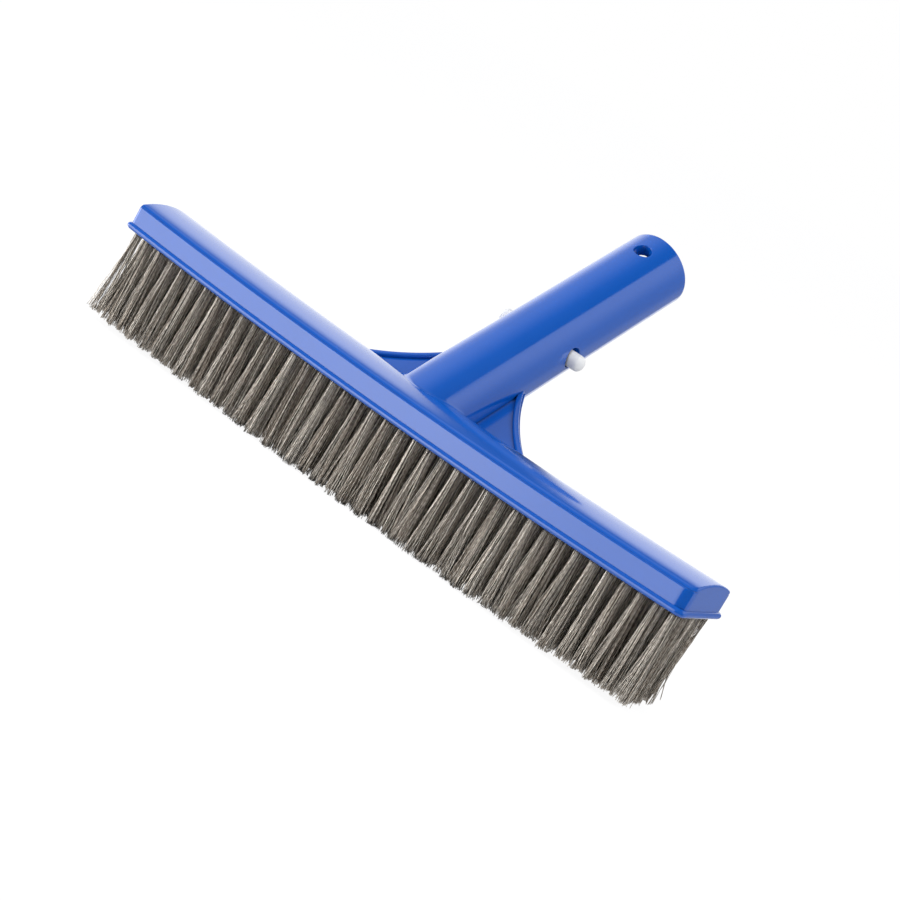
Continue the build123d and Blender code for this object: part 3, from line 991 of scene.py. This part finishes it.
def wire_bundle(middles_x, middle_y, leans_x):
    """Centre lines of every wire of some tufts, as (wires, steps, 3), and a tone for each.

    A root is a random place in the hole's disc. A tip is the root pushed out from the
    tuft's middle, plus its tuft's and lock's own lean, plus a little of its own. Between
    them the line is straight, plus a bow that is nought at the root and a lazy crimp. The
    tone is brighter at the tuft's outside and darker at its middle, a painted shade, plus a
    random part of its tuft, lock and wire.
    """
    tufts = len(middles_x)
    each_tuft, each_lock = (tufts, 1), (tufts, locks_per_tuft)
    each_wire, each_line = (tufts, wires_per_tuft), (tufts, wires_per_tuft, 1)
    reach = root_reach * np.sqrt(chance.random(each_wire))
    angle = chance.random(each_wire) * 2 * math.pi
    root_x, root_y = reach * np.cos(angle), reach * np.sin(angle)
    lock_turn = np.arange(locks_per_tuft) / locks_per_tuft + chance.random(each_tuft)
    lock_angle = lock_turn * 2 * math.pi
    lock_reach = chance.uniform(*lock_place, each_lock)
    lock_x, lock_y = lock_reach * np.cos(lock_angle), lock_reach * np.sin(lock_angle)
    gap_x = root_x[..., None] / root_reach - lock_x[:, None]
    gap_y = root_y[..., None] / root_reach - lock_y[:, None]
    gap = np.hypot(gap_x, gap_y) + chance.normal(0.0, lock_mixing, gap_x.shape)
    lock = gap.argmin(-1)

    def of_lock(values):
        """Each wire's value, taken from its lock's."""
        return values[np.arange(tufts)[:, None], lock]

    lean_x = chance.normal(0.0, tuft_lean[0], each_tuft)
    lean_y = chance.normal(0.0, tuft_lean[1], each_tuft)
    lock_lean_x = chance.normal(0.0, lock_lean[0], each_lock) + lock_x * lock_splay[0]
    lock_lean_y = chance.normal(0.0, lock_lean[1], each_lock) + lock_y * lock_splay[1]
    tip_x = root_x * tip_splay + lean_x + of_lock(lock_lean_x)
    tip_x = tip_x + chance.normal(0.0, wire_lean, each_wire)
    tip_y = root_y * tip_splay + lean_y + of_lock(lock_lean_y)
    tip_y = tip_y + chance.normal(0.0, wire_lean, each_wire)
    odd = chance.random(each_wire) < odd_wires
    tip_x = tip_x + np.where(odd, chance.normal(0.0, odd_lean, each_wire), 0.0)
    lean_share = of_lock(chance.uniform(*end_lean_shares, each_lock))
    tip_x = tip_x + np.asarray(leans_x)[:, None] * lean_share
    lock_short = chance.exponential(lock_uneven, each_lock)
    short = chance.exponential(wire_uneven, each_wire) + of_lock(lock_short)
    short = np.minimum(short, most_uneven) + wire_trim
    middle_x = np.asarray(middles_x)[:, None]
    root_z = head_base + root_depth + bow_rise(middle_x)
    tip_z = np.maximum(bow_rise(middle_x + tip_x) - face_drop + short, tip_least)
    share = np.linspace(0.0, 1.0, wire_steps + 1)
    belly_x = chance.normal(0.0, belly[0], each_line)
    belly_y = chance.normal(0.0, belly[1], each_line)
    waves = share * chance.uniform(*crimp_waves, each_line)
    crimp = crimp_height * np.sin(waves + chance.random(each_line) * crimp_turns)
    crimp_turn = chance.random(each_line) * crimp_turns
    ease = share**tip_ease
    swing = np.sin(share * math.pi) * share
    x = middle_x[..., None] + root_x[..., None] + (tip_x - root_x)[..., None] * ease
    y = middle_y + root_y[..., None] + (tip_y - root_y)[..., None] * ease
    x = x + belly_x * swing + crimp * np.sqrt(share) * np.cos(crimp_turn)
    y = y + belly_y * swing + crimp * np.sqrt(share) * np.sin(crimp_turn)
    z = root_z[..., None] + (tip_z - root_z)[..., None] * share
    lines = np.stack([x, y, z], -1).reshape(-1, wire_steps + 1, 3)
    # Painted shade: a wire is darker the nearer it is to its tuft's middle.
    tone = painted_shade_middle_tone + painted_light_outside_tone * (reach / root_reach) ** 2
    tone = tone + chance.normal(0.0, tone_spread[0], each_tuft)
    tone = tone + of_lock(chance.normal(0.0, tone_spread[1], each_lock))
    tone = tone + chance.normal(0.0, tone_spread[2], each_wire)
    return lines, np.clip(tone, 0.0, 1.0).reshape(-1)


def wire_mesh(name, lines, tone):
    """Three-sided tubes round centre lines, closed by a face at the root and at the tip.

    A ring's points are the line's point plus the radius times the cosine and sine of
    three turns, along two directions square to the wire.
    """
    count, steps = lines.shape[:2]
    heading = np.gradient(lines, axis=1)
    heading /= np.linalg.norm(heading, axis=2, keepdims=True)
    first = np.cross(heading, np.array([0.0, 1.0, 0.0]))
    first /= np.linalg.norm(first, axis=2, keepdims=True)
    second = np.cross(heading, first)
    spin = chance.random((count, 1, 1)) * 2 * math.pi
    turns = spin + np.arange(wire_sides) * 2 * math.pi / wire_sides
    out_first = np.cos(turns)[..., None] * first[:, :, None]
    out_second = np.sin(turns)[..., None] * second[:, :, None]
    ring = lines[:, :, None] + wire_radius * (out_first + out_second)
    ring[..., 2] = np.maximum(ring[..., 2], 0.0)
    points = ring.reshape(-1, 3)
    corner = np.arange(wire_sides)
    here = np.arange(steps - 1)[:, None] * wire_sides + corner
    beside = np.arange(steps - 1)[:, None] * wire_sides + (corner + 1) % wire_sides
    one = np.stack([here, here + wire_sides, beside + wire_sides, beside], -1).reshape(-1, 4)
    begin = np.arange(count)[:, None] * steps * wire_sides
    sides = (begin[..., None] + one).reshape(-1, 4)
    tips = begin + (steps - 1) * wire_sides + corner[::-1]
    roots = begin + corner
    loops = np.concatenate([sides.ravel(), tips.ravel(), roots.ravel()])
    totals = np.repeat([4, wire_sides], [len(sides), len(tips) + len(roots)])
    starts = np.concatenate([[0], np.cumsum(totals)[:-1]])
    mesh = bpy.data.meshes.new(name)
    mesh.vertices.add(len(points))
    mesh.vertices.foreach_set("co", (points * millimetre).astype(np.float32).ravel())
    mesh.loops.add(len(loops))
    mesh.loops.foreach_set("vertex_index", loops.astype(np.int32))
    mesh.polygons.add(len(totals))
    mesh.polygons.foreach_set("loop_start", starts.astype(np.int32))
    mesh.polygons.foreach_set("loop_total", totals.astype(np.int32))
    mesh.update(calc_edges=True)
    mesh.validate()
    mesh.shade_smooth()
    shade = mesh.attributes.new("wire_tone_and_shade", "FLOAT", "POINT")
    shade.data.foreach_set("value", np.repeat(tone, steps * wire_sides).astype(np.float32))
    piece = bpy.data.objects.new(name, mesh)
    bpy.context.scene.collection.objects.link(piece)
    mesh.materials.append(wire_metal)
    return piece


# The first tufts at the left end are spread outwards, the front one of them has lost half
# its wires, and the last one of the back row leans in and has lost more. One bent lock
# stands off at the right end of the fourth row; its path is in X and Z.
end_lean = np.zeros((tuft_rows, row_tufts))
end_lean[:, 0] = (-3.4, -1.2, -0.6, -0.4, -0.2)
end_lean[:, -1] = (-0.6, -0.8, -1.2, -1.6, -5.0)
front_tuft_lost = 55
back_tuft_lost = 70
wires_left, wires_right = -133.5, 131.5  # no wire reaches past these in X
stray_path = np.array(
    [[124.1, 34.0], [124.9, 29.2], [125.6, 24.0], [124.7, 17.1], [125.7, 11.4], [128.3, 2.8]]
)
stray_count = 16
stray_lengths = (0.55, 1.0)  # shares of the path that its wires cover
stray_spread = (0.35, 0.3)  # of the wires along X at the root, and along Y
stray_tone = np.full(stray_count, 0.15)
stray_until = np.sort(chance.uniform(*stray_lengths, stray_count))
stray_share = np.linspace(0.0, 1.0, wire_steps + 1) * stray_until[:, None]
stray_apart = chance.normal(0.0, stray_spread[0], (stray_count, 1)) * (1 - stray_share)
stray_at = np.linspace(0.0, 1.0, len(stray_path))
stray_x = np.interp(stray_share, stray_at, stray_path[:, 0]) + stray_apart
stray_beside = chance.normal(0.0, stray_spread[1], (stray_count, 1))
stray_y = np.full_like(stray_share, row_spacing) + stray_beside
stray_z = np.interp(stray_share, stray_at, stray_path[:, 1])
stray_lines = np.stack([stray_x, stray_y, stray_z], -1)

row_x = (np.arange(row_tufts) - (row_tufts - 1) / 2) * tuft_pitch
for row in range(tuft_rows):
    row_y = (row - (tuft_rows - 1) / 2) * row_spacing
    for bank, bank_name in enumerate(("left", "middle", "right")):
        begin, end = (round((bank + more) * row_tufts / 3) for more in (0, 1))
        lines, tone = wire_bundle(row_x[begin:end], row_y, end_lean[row, begin:end])
        if (row, bank_name) == (0, "left"):
            lines, tone = lines[front_tuft_lost:], tone[front_tuft_lost:]
        if (row, bank_name) == (4, "right"):
            lines, tone = lines[:-back_tuft_lost], tone[:-back_tuft_lost]
        if (row, bank_name) == (3, "right"):
            lines = np.concatenate([lines, stray_lines])
            tone = np.concatenate([tone, stray_tone])
        lines[..., 0] = np.clip(lines[..., 0], wires_left, wires_right)
        wires = wire_mesh(f"wires_row_{row + 1}_{bank_name}", lines, tone)
        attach(wires, "brush")
        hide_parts(f"tuft_row_{row + 1}_{bank_name}")

# ---------------------------------------------------------------------------
# The anchors: a flat piece of cut steel that holds each tuft in its hole. They are hidden
# in the head, so their own solids stay, in plain steel with a faint grain.
anchor_steel = bpy.data.materials.new("anchor_steel")
anchor_steel.use_nodes = True
cut_steel = anchor_steel.node_tree
anchor_place = add_node(cut_steel, "ShaderNodeTexCoord")
anchor_grain = add_node(
    cut_steel, "ShaderNodeTexNoise", {"Vector": anchor_place.outputs["Object"], "Scale": 900.0}
)
anchor_tint = mixed_colour(
    cut_steel, anchor_grain.outputs["Fac"], (0.42, 0.42, 0.42, 1.0), (0.58, 0.57, 0.56, 1.0)
)
set_inputs(
    cut_steel,
    cut_steel.nodes["Principled BSDF"],
    {"Metallic": 1.0, "Roughness": 0.4, "Base Color": anchor_tint},
)
for row in range(tuft_rows):
    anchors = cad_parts[f"tuft_anchors_row_{row + 1}"]
    anchors.data.materials.clear()
    anchors.data.materials.append(anchor_steel)
